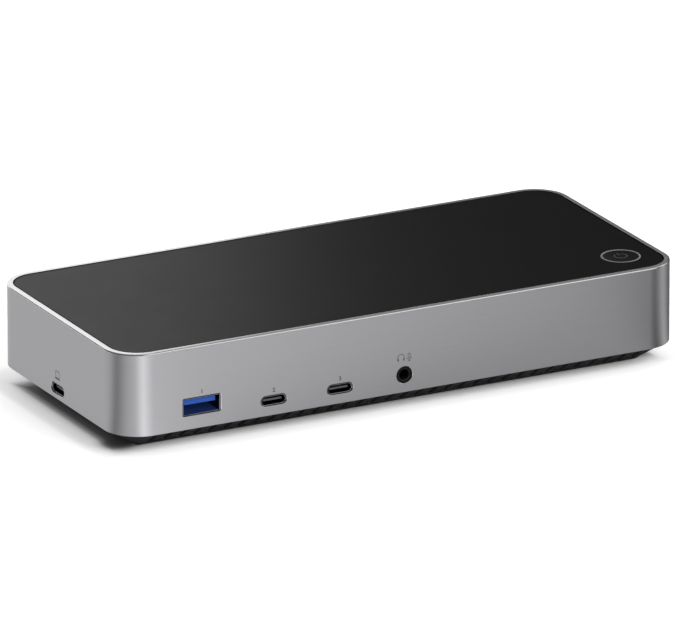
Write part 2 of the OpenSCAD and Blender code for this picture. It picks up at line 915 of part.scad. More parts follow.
module main_chip() {
    color([0.2, 0.2, 0.22]) translate([sink_x, sink_y, board_top]) {
        block(chip_w, chip_w, chip_t - 0.5);
        translate([0, 0, chip_t - 0.5]) block(chip_w - 5, chip_w - 5, 0.5);
    }
}

module thermal_pad() {
    color([0.6, 0.62, 0.7]) translate([sink_x, sink_y, board_top + chip_t])
        block(chip_w - 5, chip_w - 5, pad_t);
}

// Heat sink: an extruded plate with upright fins
module heat_sink() {
    step = (sink[0] - fin_t) / (fin_count - 1);
    color([0.55, 0.56, 0.58]) translate([sink_x, sink_y, board_top + chip_t + pad_t]) {
        block(sink[0], sink[1], sink_base_t);
        for (i = [0:fin_count - 1])
            translate([(i - (fin_count - 1) / 2) * step, 0, sink_base_t - 0.1])
                block(fin_t, sink[1], sink[2] - sink_base_t + 0.1);
    }
}

// Display, host, network, power and hub chips: [x, y, width, depth]
module small_chips() {
    chips = [[-60, 6, 14, 14], [-78, 0, 9, 9], [50, 4, 8, 8], [66, 14, 6, 5], [66, 6, 6, 5],
             [20, 6, 12, 12], [-50, -14, 7, 7]];
    color([0.12, 0.12, 0.13]) for (c = chips)
        translate([c[0], c[1], board_top]) block(c[2], c[3], 1.1);
}

module network_transformer() {
    color([0.12, 0.12, 0.13]) translate([50, 15, board_top]) block(16, 9, 5);
}

module power_inductors() {
    color([0.35, 0.35, 0.36]) for (y = [-12, 0, 12])
        translate([76.5, y, board_top]) difference() {
            block(9, 9, 4.2);
            translate([0, 0, 3.8]) cylinder(h = 1, r = 3);
        }
}

module capacitors() {
    color([0.75, 0.76, 0.8]) for (p = [[34, -10], [44, -10], [34, -22], [44, -22], [88, 9], [88, 19]])
        translate([p[0], p[1], board_top]) {
            block(8.3, 8.3, 1);
            translate([0, 0, 1]) cylinder(h = 9, r = 3.9);
        }
}

housing();
deck_frame();
top_panel();
base_cover();
foot_front();
foot_rear();
base_screws();
main_board();
front_board();
board_screws();
button_cap();
button_light_ring();
button_board();
button_board_screws();
switch_body();
switch_plunger();
switch_dome();
ring_leds();
button_ribbon();
button_ribbon_sockets();
link_ribbon();
link_sockets();
front_type_a_shell();
front_type_a_tongue();
front_type_a_contacts();
front_type_c_1_shell();
front_type_c_1_tongue();
front_type_c_2_shell();
front_type_c_2_tongue();
host_type_c_shell();
host_type_c_tongue();
audio_jack_body();
audio_jack_tabs();
power_inlet_body();
power_inlet_pin();
network_jack_shield();
network_jack_insert();
network_jack_contacts();
rear_type_a_1_shell();
rear_type_a_1_tongue();
rear_type_a_2_shell();
rear_type_a_2_tongue();
video_port_1_shell();
video_port_1_tongue();
video_port_2_shell();
video_port_2_tongue();
screen_port_1_shell();
screen_port_1_tongue();
screen_port_2_shell();
screen_port_2_tongue();
main_chip();
thermal_pad();
heat_sink();
small_chips();
network_transformer();
power_inductors();
capacitors();
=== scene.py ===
import math

import bmesh
import bpy
from mathutils import Matrix, Vector


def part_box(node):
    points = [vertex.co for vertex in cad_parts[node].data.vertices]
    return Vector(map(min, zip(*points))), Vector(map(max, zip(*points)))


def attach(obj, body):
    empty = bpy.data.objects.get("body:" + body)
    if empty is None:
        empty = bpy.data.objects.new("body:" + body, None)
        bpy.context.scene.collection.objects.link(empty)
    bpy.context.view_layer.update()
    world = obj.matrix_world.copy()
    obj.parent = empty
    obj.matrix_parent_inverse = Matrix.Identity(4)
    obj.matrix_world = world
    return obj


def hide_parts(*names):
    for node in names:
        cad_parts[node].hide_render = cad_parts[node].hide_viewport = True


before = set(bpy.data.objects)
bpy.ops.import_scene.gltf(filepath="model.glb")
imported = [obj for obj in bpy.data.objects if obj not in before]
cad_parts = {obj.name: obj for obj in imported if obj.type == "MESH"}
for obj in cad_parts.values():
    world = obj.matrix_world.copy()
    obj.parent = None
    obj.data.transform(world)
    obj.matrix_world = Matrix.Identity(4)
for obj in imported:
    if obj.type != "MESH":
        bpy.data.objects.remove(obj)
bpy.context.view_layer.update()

MM = 0.001
scene = bpy.context.scene

# ---------------------------------------------------------------------------
# Studio. The dock stands on a white table in front of a white ground, seen from
# the left and a little above through a long lens. A soft box lights it from the
# front, and white cards in front, on the right and behind show in its metal.
# A shadow is painted on the table round the dock, and bright and dark bands painted
# on the table show only in the metal's reflections.
# ---------------------------------------------------------------------------
VIEW_AZIMUTH = math.radians(27.468)
VIEW_ELEVATION = math.radians(18.994)
VIEW_ROLL = math.radians(-0.081)
VIEW_DISTANCE = 4.1045
VIEW_RIGHT = -0.000611
VIEW_UP = 0.014202
VIEW_LIFT = 0.0044
SENSOR_WIDTH = 36.0
LENS = 687.8

scene.view_settings.view_transform = "Standard"


def camera_turn():
    """The camera's right, up and back in the dock's frame, as the columns of a matrix."""
    back = Vector((-math.sin(VIEW_AZIMUTH) * math.cos(VIEW_ELEVATION),
                   -math.cos(VIEW_AZIMUTH) * math.cos(VIEW_ELEVATION),
                   math.sin(VIEW_ELEVATION)))
    right = Vector((math.cos(VIEW_AZIMUTH), -math.sin(VIEW_AZIMUTH), 0))
    up = back.cross(right)
    c, s = math.cos(VIEW_ROLL), math.sin(VIEW_ROLL)
    return Matrix((right * c + up * s, up * c - right * s, back)).transposed()


camera_axes = camera_turn()
camera = bpy.data.objects.new("camera", bpy.data.cameras.new("camera"))
camera.data.sensor_width = SENSOR_WIDTH
camera.data.lens = LENS
camera.data.clip_start = 0.1
camera.data.clip_end = 50
camera_place = camera_axes @ Vector((VIEW_RIGHT, VIEW_UP, VIEW_DISTANCE)) + Vector((0, 0, VIEW_LIFT))
camera.matrix_world = Matrix.Translation(camera_place) @ camera_axes.to_4x4()
scene.collection.objects.link(camera)
scene.camera = camera


class Wire:
    """One output of a shader node. Python's operators on it add Math nodes."""

    def __init__(self, finish, socket):
        self.finish = finish
        self.socket = socket

    def math(self, operation, *values):
        return self.finish.node("ShaderNodeMath", {"operation": operation}, dict(enumerate(values)))

    def __add__(self, other):
        return self.math("ADD", self, other)

    def __sub__(self, other):
        return self.math("SUBTRACT", self, other)

    def __rsub__(self, other):
        return self.math("SUBTRACT", other, self)

    def __mul__(self, other):
        return self.math("MULTIPLY", self, other)

    def __truediv__(self, other):
        return self.math("DIVIDE", self, other)

    __radd__ = __add__
    __rmul__ = __mul__


class Finish:
    """One procedural material: a Principled surface and the nodes that feed it."""

    def __init__(self, name, colour, roughness, metallic=0.0, **fixed):
        self.material = bpy.data.materials.new(name)
        self.material.use_nodes = True
        self.tree = self.material.node_tree
        self.surface = self.tree.nodes["Principled BSDF"]
        self.surface.inputs["Base Color"].default_value = (*colour, 1)
        self.surface.inputs["Roughness"].default_value = roughness
        self.surface.inputs["Metallic"].default_value = metallic
        self.material.diffuse_color = (*colour, 1)
        for socket, value in fixed.items():
            self.surface.inputs[socket.replace("_", " ")].default_value = value

    def node(self, kind, settings=None, inputs=None, output=0):
        made = self.tree.nodes.new(kind)
        for key, value in (settings or {}).items():
            setattr(made, key, value)
        for key, value in (inputs or {}).items():
            if isinstance(value, Wire):
                self.tree.links.new(value.socket, made.inputs[key])
            else:
                made.inputs[key].default_value = value
        return Wire(self, made.outputs[output])

    def ramp(self, wire, stops):
        """Greys by position, from a list of (position, grey)."""
        made = self.tree.nodes.new("ShaderNodeValToRGB")
        bar = made.color_ramp.elements
        while len(bar) < len(stops):
            bar.new(0.5)
        for spot, (position, grey) in zip(bar, stops):
            spot.position = position
            spot.color = (grey, grey, grey, 1)
        self.tree.links.new(wire.socket, made.inputs["Fac"])
        return Wire(self, made.outputs["Color"])

    def feed(self, socket, wire):
        self.tree.links.new(wire.socket, self.surface.inputs[socket])

    def place(self, scale=(1, 1, 1)):
        """Object coordinates, stretched per axis, so that a pattern is fixed to the piece."""
        spot = self.node("ShaderNodeTexCoord", output="Object")
        return self.node("ShaderNodeMapping", {"vector_type": "POINT"}, {"Vector": spot, "Scale": scale})

    def noise(self, size_mm, detail=2.0, stretch=(1, 1, 1)):
        """Noise from 0 to 1 whose grains are about size_mm across."""
        return self.node("ShaderNodeTexNoise", {"noise_dimensions": "3D"},
                         {"Vector": self.place(stretch), "Scale": 1 / (size_mm * MM), "Detail": detail})

    def blend(self, mask, low, high):
        """A colour that goes from low to high as mask goes from 0 to 1."""
        return self.node("ShaderNodeMix", {"data_type": "RGBA"},
                         {"Factor": mask, 6: (*low, 1), 7: (*high, 1)}, output=2)

    def bump(self, height, depth_mm):
        self.feed("Normal", self.node("ShaderNodeBump", {},
                                      {"Height": height, "Distance": depth_mm * MM, "Strength": 1.0}))


PAPER_WHITE = (0.93, 0.93, 0.93)
# The grey below is a painted shadow: the colour of the table near and under the dock.
PAPER_PAINTED_SHADE = (0.2, 0.2, 0.2)
PAPER_GLOW = 0.5
DOCK_SIDE = 0.1
DOCK_FRONT = -0.04465
DOCK_BACK = 0.045
BACK_SPREAD = 0.5

# Distances from the dock, in metres, become places on a ramp: times the first, plus the second.
REFLECTION_SHADE_SCALE = (50, 0.3)
SIDE_SCALE = (40, 0.4)
FRONT_SCALE = (25, 0.5)
# The ramps below paint the dock's shadow on the table: the first dims the painted reflection bands, the glow
# ramps dim the table's glow to the camera, and the shade ramps darken its colour, near and under the dock.
REFLECTION_PAINTED_SHADE = [(0.0, 0.0), (0.7, 1.0)]
FRONT_GLOW = [(0.1, 0.0), (0.25, 0.4), (0.369, 0.85), (0.485, 0.96), (0.69, 1.0)]
FRONT_PAINTED_SHADE = [(0.05, 0.0), (0.2, 1.0)]
SIDE_GLOW = [(0.0, 0.0), (0.16, 0.03), (0.24, 0.15), (0.31, 0.53), (0.385, 0.65), (0.46, 0.67),
             (0.53, 0.76), (0.6, 1.0)]
SIDE_PAINTED_SHADE = [(0.0, 0.0), (0.17, 0.07), (0.3, 1.0)]
# The painted shadow is deepened round this spot, under the dock's front left corner.
PAINTED_SHADOW_CORNER = (-0.0925, -0.0275, 0.0)
CORNER_SCALE = 100
CORNER_PAINTED_SHADE = [(0.16, 0.05), (0.4, 0.22), (0.62, 0.78), (0.82, 1.0)]

# The painted reflection bands, which only gloss sees, are bright and dark by their bearing from the middles
# of the two front corners.
PAINTED_REFLECTION_X = 0.088
PAINTED_REFLECTION_Y = -0.033
PAINTED_REFLECTION_LIGHT = 3.9
PAINTED_REFLECTION_LEFT = [(0.0, 0.13), (0.05, 0.27), (0.10, 0.38), (0.17, 0.46), (0.215, 0.90), (0.25, 0.66),
              (0.29, 0.51), (0.36, 0.425), (0.42, 0.33), (0.45, 0.265), (0.48, 0.235), (0.55, 0.24),
              (0.70, 0.36), (0.86, 0.36), (0.93, 0.36), (1.0, 0.13)]
PAINTED_REFLECTION_RIGHT = [(0.0, 0.6), (0.30, 0.6), (0.325, 0.30), (0.36, 0.10), (0.405, 0.45), (0.45, 1.0),
               (0.50, 0.5), (0.55, 0.12), (0.63, 0.5), (0.70, 0.5), (0.765, 0.6), (1.0, 0.6)]


def table_paper():
    """White paper. To the camera it is lit, glowing paper with a painted shadow round the dock; to gloss it
    is painted bright and dark reflection bands.
    """
    paper = Finish("table_paper", PAPER_WHITE, 0.9, Emission_Strength=PAPER_GLOW)
    spot = paper.node("ShaderNodeTexCoord", output="Object")
    x, y = (paper.node("ShaderNodeSeparateXYZ", {}, {"Vector": spot}, output=k) for k in range(2))

    def bearing(centre_x):
        """The bearing of the spot from a front corner of the dock, 0 to 1 from the left by the front."""
        return x.math("ARCTAN2", y - PAINTED_REFLECTION_Y, x - centre_x) / math.tau + 0.5

    def by_distance(distance, scale, stops):
        return paper.ramp(distance * scale[0] + scale[1], stops)

    left = paper.ramp(bearing(-PAINTED_REFLECTION_X), PAINTED_REFLECTION_LEFT)
    right = paper.ramp(bearing(PAINTED_REFLECTION_X), PAINTED_REFLECTION_RIGHT)
    aside = x.math("MAXIMUM", x.math("ABSOLUTE", x) - DOCK_SIDE, (y - DOCK_BACK) * BACK_SPREAD)
    ahead = DOCK_FRONT - y
    # The painted reflection bands fade out near and under the dock: a painted shadow in the reflections.
    reflection_free_of_painted_shade = by_distance(aside.math("MAXIMUM", aside, ahead), REFLECTION_SHADE_SCALE, REFLECTION_PAINTED_SHADE)
    # A painted shadow that deepens round the front left corner of the dock.
    near_corner = paper.node("ShaderNodeVectorMath", {"operation": "DISTANCE"},
                             {0: spot, 1: PAINTED_SHADOW_CORNER}, output="Value")
    corner_painted_shadow = paper.ramp(near_corner * CORNER_SCALE, CORNER_PAINTED_SHADE)
    # The table's glow to the camera fades towards and under the dock: a painted shadow.
    side_glow = by_distance(aside, SIDE_SCALE, SIDE_GLOW)
    front_glow = by_distance(ahead, FRONT_SCALE, FRONT_GLOW)
    to_camera = paper.node("ShaderNodeLightPath", output="Is Camera Ray")
    glow = to_camera * corner_painted_shadow * side_glow.math("MAXIMUM", side_glow, front_glow)
    paper.feed("Emission Color", paper.blend(glow, (0, 0, 0), (1, 1, 1)))
    # The table's colour darkens to grey near and under the dock and round its front left corner: a painted
    # shadow.
    side_free_of_painted_shade = by_distance(aside, SIDE_SCALE, SIDE_PAINTED_SHADE)
    front_free_of_painted_shade = by_distance(ahead, FRONT_SCALE, FRONT_PAINTED_SHADE)
    free_of_painted_shade = corner_painted_shadow * side_free_of_painted_shade.math("MAXIMUM", side_free_of_painted_shade, front_free_of_painted_shade)
    paper.feed("Base Color", paper.blend(free_of_painted_shade, PAPER_PAINTED_SHADE, PAPER_WHITE))
    # The bright and dark bands are a painted reflection: emission that only glossy rays see.
    painted_reflection = paper.tree.nodes.new("ShaderNodeBsdfPrincipled")
    painted_reflection.inputs["Base Color"].default_value = (0, 0, 0, 1)
    painted_reflection.inputs["Specular IOR Level"].default_value = 0
    painted_reflection.inputs["Emission Strength"].default_value = PAINTED_REFLECTION_LIGHT
    paper.tree.links.new((left * right * reflection_free_of_painted_shade).socket, painted_reflection.inputs["Emission Color"])
    either = paper.tree.nodes.new("ShaderNodeMixShader")
    to_gloss = paper.node("ShaderNodeLightPath", output="Is Glossy Ray")
    paper.tree.links.new(to_gloss.socket, either.inputs["Fac"])
    paper.tree.links.new(paper.surface.outputs["BSDF"], either.inputs[1])
    paper.tree.links.new(painted_reflection.outputs["BSDF"], either.inputs[2])
    paper.tree.links.new(either.outputs[0], paper.tree.nodes["Material Output"].inputs["Surface"])
    return paper


TABLE_SIZE = 4.0
plane = bmesh.new()
bmesh.ops.create_grid(plane, x_segments=1, y_segments=1, size=TABLE_SIZE)
table_mesh = bpy.data.meshes.new("table")
plane.to_mesh(table_mesh)
plane.free()
table_mesh.materials.append(table_paper().material)
table = bpy.data.objects.new("table", table_mesh)
scene.collection.objects.link(table)


def soft_box(name, place, aim, size, radiance, gloss=True, diffuse=True):
    """A rectangular lamp that the camera doesn't see, set by how bright its face is."""
    data = bpy.data.lights.new(name, "AREA")
    data.shape = "RECTANGLE"
    data.size, data.size_y = size
    data.energy = radiance * math.pi * size[0] * size[1]
    lamp = bpy.data.objects.new(name, data)
    lamp.visible_camera = False
    lamp.visible_glossy = gloss
    lamp.visible_diffuse = diffuse
    lamp.location = place
    lamp.rotation_mode = "QUATERNION"
    lamp.rotation_quaternion = (Vector(aim) - Vector(place)).to_track_quat("-Z", "Y")
    scene.collection.objects.link(lamp)


DOCK_MIDDLE = (0, 0, 0.02)
soft_box("key_box", (0.45, -1.3, 0.9), DOCK_MIDDLE, (1.0, 0.8), 6.5, gloss=False)
soft_box("front_card", (0.6, -1.25, 0.85), DOCK_MIDDLE, (1.7, 1.25), 0.95, diffuse=False)
soft_box("corner_card", (1.13, 0.08, 0.68), DOCK_MIDDLE, (0.8, 0.7), 1.0, diffuse=False)

# The back card's place is given across and along the line of sight.
CARD_EDGE = -0.040
CARD_SIZE = (0.9, 1.0)
CARD_BACK = 0.7
CARD_LIGHT = 0.98
across = Vector((math.cos(VIEW_AZIMUTH), -math.sin(VIEW_AZIMUTH), 0))
along = Vector((math.sin(VIEW_AZIMUTH), math.cos(VIEW_AZIMUTH), 0))
card_place = across * (CARD_EDGE - CARD_SIZE[0] / 2) + along * CARD_BACK + Vector((0, 0, CARD_SIZE[1] / 2))
soft_box("back_card", card_place, card_place - along, CARD_SIZE, CARD_LIGHT)

# The ground is white to the camera and dim in the gloss, but for a patch overhead.
WORLD_LIGHT = 0.5
WORLD_GLOSS = 0.03
WORLD_OVERHEAD = 0.3
OVERHEAD_RANGE = (0.4, 0.8)
world = bpy.data.worlds.new("white_ground")
scene.world = world
world.use_nodes = True
air = world.node_tree
ground = air.nodes["Background"]
ground.inputs["Color"].default_value = (1, 1, 1, 1)


def mixed(factor, low, high):
    """A world value that goes from low to high with factor; low and high may be sockets."""
    mix = air.nodes.new("ShaderNodeMix")
    mix.data_type = "FLOAT"
    air.links.new(factor, mix.inputs[0])
    for socket, value in ((mix.inputs[2], low), (mix.inputs[3], high)):
        if isinstance(value, (int, float)):
            socket.default_value = value
        else:
            air.links.new(value, socket)
    return mix.outputs[0]


direction = air.nodes.new("ShaderNodeTexCoord")
split = air.nodes.new("ShaderNodeSeparateXYZ")
air.links.new(direction.outputs["Generated"], split.inputs[0])
overhead = air.nodes.new("ShaderNodeMapRange")
overhead.inputs["From Min"].default_value, overhead.inputs["From Max"].default_value = OVERHEAD_RANGE
air.links.new(split.outputs["Z"], overhead.inputs["Value"])
path = air.nodes.new("ShaderNodeLightPath")
gloss_level = mixed(overhead.outputs[0], WORLD_GLOSS, WORLD_OVERHEAD)
strength = mixed(path.outputs["Is Glossy Ray"], WORLD_LIGHT, gloss_level)
strength = mixed(path.outputs["Is Camera Ray"], strength, 1.0)
air.links.new(strength, ground.inputs["Strength"])

# ---------------------------------------------------------------------------
# Base. A black moulded tray with a sloping, slotted flank closes the housing from
# below. It stands on two rubber strips, which cover its four screws.
# ---------------------------------------------------------------------------
SMOOTH_ANGLE = math.radians(32)
BROAD_FACE = 30
SHARP_ANGLE = math.radians(35)
FLAT_ANGLE = math.radians(0.5)


def shade(bm):
    """Smooth over curves, sharp at corners and where a broad flat face meets a small one."""
    for face in bm.faces:
        face.smooth = True
    for edge in bm.edges:
        if len(edge.link_faces) != 2:
            continue
        areas = sorted(face.calc_area() for face in edge.link_faces)
        edge.smooth = edge.calc_face_angle(0) < SMOOTH_ANGLE and areas[1] < BROAD_FACE * areas[0]


def keep(bm, name, finishes, body="dock"):
    """Makes the piece from its bmesh, with smooth curves, sharp edges and its finishes."""
    mesh = bpy.data.meshes.new(name)
    shade(bm)
    bm.to_mesh(mesh)
    bm.free()
    for finish in finishes:
        mesh.materials.append(finish.material)
    piece = bpy.data.objects.new(name, mesh)
    scene.collection.objects.link(piece)
    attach(piece, body)
    return piece


def stand_for(node):
    """Hides the node, so that a piece made for it is shown instead."""
    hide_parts(node)


def refined(node, name, width_mm, finish, body="dock"):
    """A merged copy of a CAD node with its sharp edges rounded, which stands for the node."""
    bm = bmesh.new()
    bm.from_mesh(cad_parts[node].data)
    bmesh.ops.remove_doubles(bm, verts=bm.verts, dist=0.001 * MM)
    bmesh.ops.dissolve_limit(bm, angle_limit=FLAT_ANGLE, verts=bm.verts, edges=bm.edges)
    for face in bm.faces:
        face.material_index = 0
    sharp = [e for e in bm.edges if e.is_manifold and e.calc_face_angle() > SHARP_ANGLE]
    bmesh.ops.bevel(bm, geom=sharp, offset=width_mm * MM, offset_type="OFFSET", segments=2, profile=0.5,
                    affect="EDGES", material=-1, clamp_overlap=True)
    piece = keep(bm, name, [finish], body)
    stand_for(node)
    return piece


def paint(finish, *nodes):
    """Gives CAD nodes a finish through their objects' material slots."""
    for node in nodes:
        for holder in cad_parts[node].material_slots:
            holder.link = "OBJECT"
            holder.material = finish.material


def moulded(name, colour, roughness, grain_mm=0.12, depth_mm=0.012, sheen=0.45):
    """Moulded plastic: a fine spark-eroded grain with a slight change of gloss."""
    finish = Finish(name, colour, roughness, Specular_IOR_Level=sheen)
    grain = finish.noise(grain_mm, 3)
    cloud = finish.noise(9, 2)
    lighter = tuple(min(1, c * 1.35 + 0.004) for c in colour)
    finish.feed("Base Color", finish.blend(cloud * 0.6 + grain * 0.4, colour, lighter))
    finish.feed("Roughness", cloud * 0.12 + (roughness - 0.06))
    finish.bump(grain, depth_mm)
    return finish


base_plastic = moulded("black_base_plastic", (0.034, 0.034, 0.035), 0.58, sheen=0.4)
refined("base_cover", "base_moulding", 0.12, base_plastic)

foot_rubber = moulded("foot_rubber", (0.012, 0.012, 0.012), 0.75, 0.2, 0.02)
for end in ("front", "rear"):
    refined("foot_" + end, end + "_foot_strip", 0.1, foot_rubber)


def plated(name, colour, roughness, streak_mm=0.5, metallic=1.0):
    """Plated or turned metal with faint streaks."""
    finish = Finish(name, colour, roughness, metallic)
    streak = finish.noise(streak_mm, 3, (0.2, 1, 1))
    darker = tuple(c * 0.82 for c in colour)
    finish.feed("Base Color", finish.blend(streak, darker, colour))
    finish.feed("Roughness", streak * 0.16 + (roughness - 0.08))
    return finish


dark_zinc = plated("dark_zinc", (0.06, 0.06, 0.065), 0.4)
paint(dark_zinc, "base_screws")

# ---------------------------------------------------------------------------
# Boards. Two green boards carry the sockets and parts, on short posts of the
# deck. A ribbon links them over the gap between them.
# ---------------------------------------------------------------------------
bright_zinc = plated("bright_zinc", (0.62, 0.62, 0.64), 0.32)
paint(bright_zinc, "board_screws", "button_board_screws")


def solder_mask():
    """Green solder mask over a woven board, with faint copper lines under it."""
    finish = Finish("solder_mask", (0.015, 0.13, 0.06), 0.35, Specular_IOR_Level=0.5)
    weave = finish.noise(0.7, 2)
    lines = finish.node("ShaderNodeTexBrick", {"offset": 0.37, "squash": 1.0},
                        {"Vector": finish.place(), "Scale": 180.0, "Mortar Size": 0.02}, output=1)
    finish.feed("Base Color", finish.blend(lines * 0.5 + weave * 0.3, (0.012, 0.11, 0.05), (0.03, 0.2, 0.09)))
    finish.feed("Roughness", weave * 0.15 + 0.28)
    finish.bump(lines, 0.03)
    return finish


board_green = solder_mask()
paint(board_green, "main_board", "front_board", "button_board")

ribbon_film = moulded("ribbon_film", (0.72, 0.72, 0.75), 0.4, 0.5)
paint(ribbon_film, "button_ribbon", "link_ribbon")
ivory = moulded("ivory_moulding", (0.72, 0.69, 0.60), 0.5)
paint(ivory, "button_ribbon_sockets", "link_sockets")

# ---------------------------------------------------------------------------
# Parts on the main board. The main chip gives its heat through a soft pad to an
# extruded sink; coils, cans and small chips stand around it.
# ---------------------------------------------------------------------------
chip_epoxy = moulded("chip_epoxy", (0.02, 0.02, 0.022), 0.6)
paint(chip_epoxy, "main_chip", "small_chips", "network_transformer")
pad_grey = moulded("pad_grey", (0.35, 0.37, 0.45), 0.8)
paint(pad_grey, "thermal_pad")
sink_metal = plated("sink_metal", (0.6, 0.61, 0.63), 0.42)
paint(sink_metal, "heat_sink")
coil_powder = moulded("coil_powder", (0.13, 0.13, 0.14), 0.7)
paint(coil_powder, "power_inductors")
can_metal = plated("can_metal", (0.75, 0.76, 0.79), 0.3)
paint(can_metal, "capacitors")

# ---------------------------------------------------------------------------
# Sockets. Each is a pressed steel shell with a moulded tongue; the flat ones have
# a blue tongue. Their mouths lie just inside the housing's walls.
# ---------------------------------------------------------------------------
SHEET_EDGE = 0.11
LIP = 0.2 * MM
LIP_SLANT = (0.15, 0.97)
FLAT_ROOM = 4 * MM
FLAT_SOCKETS = ["front_type_a", "rear_type_a_1", "rear_type_a_2"]
DARK_SOCKETS = ["front_type_c_1", "front_type_c_2", "host_type_c", "video_port_1", "video_port_2",
                "screen_port_1", "screen_port_2"]
OUTWARD = {"front": (0, -1, 0), "host": (-1, 0, 0), "audio": (0, -1, 0)}

# The socket shells are a darkened copy of the nickel, a painted shade, and their inner lips the bright
# nickel, a painted highlight.
nickel = plated("nickel_sheet", (0.66, 0.66, 0.67), 0.28)
nickel_painted_shade = plated("nickel_sheet_painted_shade", (0.045, 0.045, 0.052), 0.34)
blue_plastic = moulded("blue_tongue", (0.014, 0.075, 0.36), 0.4, sheen=0.3)
black_plastic = moulded("black_moulding", (0.012, 0.012, 0.013), 0.42)
tongue_black = moulded("tongue_black", (0.03, 0.03, 0.031), 0.22, sheen=1.0)
gilt = plated("gilt_contacts", (0.95, 0.68, 0.30), 0.25)

# The floor of a flat socket: a dark blue colour and a faint blue glow, painted light that stands in for the
# blue bounced off the tongue over it
blue_painted_bounce_light = Finish("blue_painted_bounce_light", (0.008, 0.016, 0.07), 0.5, Emission_Color=(0.1, 0.25, 1.0, 1.0),
                    Emission_Strength=0.03)


def painted_highlight_lip(piece, finish, outward):
    """Gives the inner rounded edge of a socket's mouth a lighter finish of its own, a painted highlight."""
    piece.data.materials.append(finish.material)
    outward = Vector(outward)
    mouth = max(v.co.dot(outward) for v in piece.data.vertices)
    ring = [v.co for v in piece.data.vertices if mouth - v.co.dot(outward) < LIP]
    middle = sum(ring, Vector()) / len(ring)
    for face in piece.data.polygons:
        inner = face.normal.dot(middle - face.center) > 0
        slanted = LIP_SLANT[0] < face.normal.dot(outward) < LIP_SLANT[1]
        if inner and slanted and mouth - face.center.dot(outward) < LIP:
            face.material_index = 1


for socket in FLAT_SOCKETS + DARK_SOCKETS:
    steel = refined(socket + "_shell", socket + "_steel", SHEET_EDGE, nickel_painted_shade)
    painted_highlight_lip(steel, nickel, OUTWARD.get(socket.split("_")[0], (0, 1, 0)))
    if socket in FLAT_SOCKETS:
        # The floor faces under the tongue take the painted blue bounce light.
        steel.data.materials.append(blue_painted_bounce_light.material)
        low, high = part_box(socket + "_tongue")
        for face in steel.data.polygons:
            if face.normal.z > 0.9 and 0 < (low.z + high.z) / 2 - face.center.z < FLAT_ROOM:
                face.material_index = 2
for socket in FLAT_SOCKETS:
    refined(socket + "_tongue", socket + "_blue_tongue", 0.08, blue_plastic)
for socket in DARK_SOCKETS:
    refined(socket + "_tongue", socket + "_black_tongue", 0.1, tongue_black)

jack_black = moulded("jack_moulding", (0.005, 0.005, 0.0055), 0.32, sheen=0.06)
# A lighter, glossier copy of the jack's black moulding for the inner lip of its mouth: a painted highlight.
jack_painted_highlight = moulded("jack_painted_highlight", (0.03, 0.03, 0.031), 0.3, sheen=0.8)
painted_highlight_lip(refined("audio_jack_body", "audio_jack_moulding", 0.18, jack_black), jack_painted_highlight,
           OUTWARD["audio"])
refined("power_inlet_body", "power_inlet_moulding", 0.12, black_plastic)
refined("power_inlet_pin", "power_inlet_steel_pin", 0.2, nickel)
refined("network_jack_shield", "network_jack_steel", SHEET_EDGE, nickel)
refined("network_jack_insert", "network_jack_moulding", 0.1, black_plastic)
paint(nickel, "audio_jack_tabs")
paint(gilt, "network_jack_contacts", "front_type_a_contacts")

# ---------------------------------------------------------------------------
# Housing. One aluminium shell: four satin walls with a ledge inside for the deck, a
# polished chamfer along the top edge and round each port, and a bright flat rim.
# ---------------------------------------------------------------------------
HOUSING_LOW, HOUSING_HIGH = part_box("housing")
PANEL_LOW, PANEL_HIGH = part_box("top_panel")
CORNER_R = 11.7 * MM
CORNER_STEPS = 28
RIM_STEPS = 4
WALL = 2.0 * MM
RIM = 1.85 * MM
CHAMFER = 0.45 * MM
DECK_THICK = 1.8 * MM
DECK_LOW = PANEL_LOW.z - DECK_THICK
LEDGE = 1.2 * MM
LEDGE_THICK = 1.5 * MM
LEDGE_LOW = DECK_LOW - LEDGE_THICK
PORT_CHAMFER = 0.1 * MM
WALL_REACH = WALL + MM

# Width, height and corner radius of the cuts, which clear the sockets by a small gap
CUT_GAP = 0.12 * MM
FLAT_CUT = (13.14 * MM + 2 * CUT_GAP, 5.72 * MM + 2 * CUT_GAP, 0.6 * MM)
OVAL_CUT = (8.94 * MM + 2 * CUT_GAP, 3.26 * MM + 2 * CUT_GAP, 1.74 * MM)
INLET_CUT = (8.6 * MM, 8.6 * MM, 1.5 * MM)
NETWORK_CUT_R = 0.3 * MM
NOSE_R = 2.82 * MM
NEARLY_ROUND = 0.999
NOSE_STEPS = 16


def rounded_block(low, high, radius, steps):
    """A block whose upright edges are rounded."""
    bm = bmesh.new()
    bmesh.ops.create_cube(bm, size=1.0)
    size = Vector(high) - Vector(low)
    bmesh.ops.scale(bm, verts=bm.verts, vec=size)
    bmesh.ops.translate(bm, verts=bm.verts, vec=(Vector(high) + Vector(low)) / 2)
    upright = [e for e in bm.edges if abs((e.verts[0].co - e.verts[1].co).z) > size.z / 2]
    bmesh.ops.bevel(bm, geom=upright, offset=radius, offset_type="OFFSET", segments=steps, profile=0.5,
                    affect="EDGES", material=-1)
    return bm


def end_face(bm, direction):
    """The face that lies furthest along a direction."""
    return max(bm.faces, key=lambda f: f.calc_center_median().dot(Vector(direction)))


def bevel_rim(bm, face, width):
    """Rounds the edges of a face and gives the new faces back."""
    return bmesh.ops.bevel(bm, geom=list(face.edges), offset=width, offset_type="OFFSET",
                           segments=RIM_STEPS, profile=0.5, affect="EDGES", material=-1)["faces"]


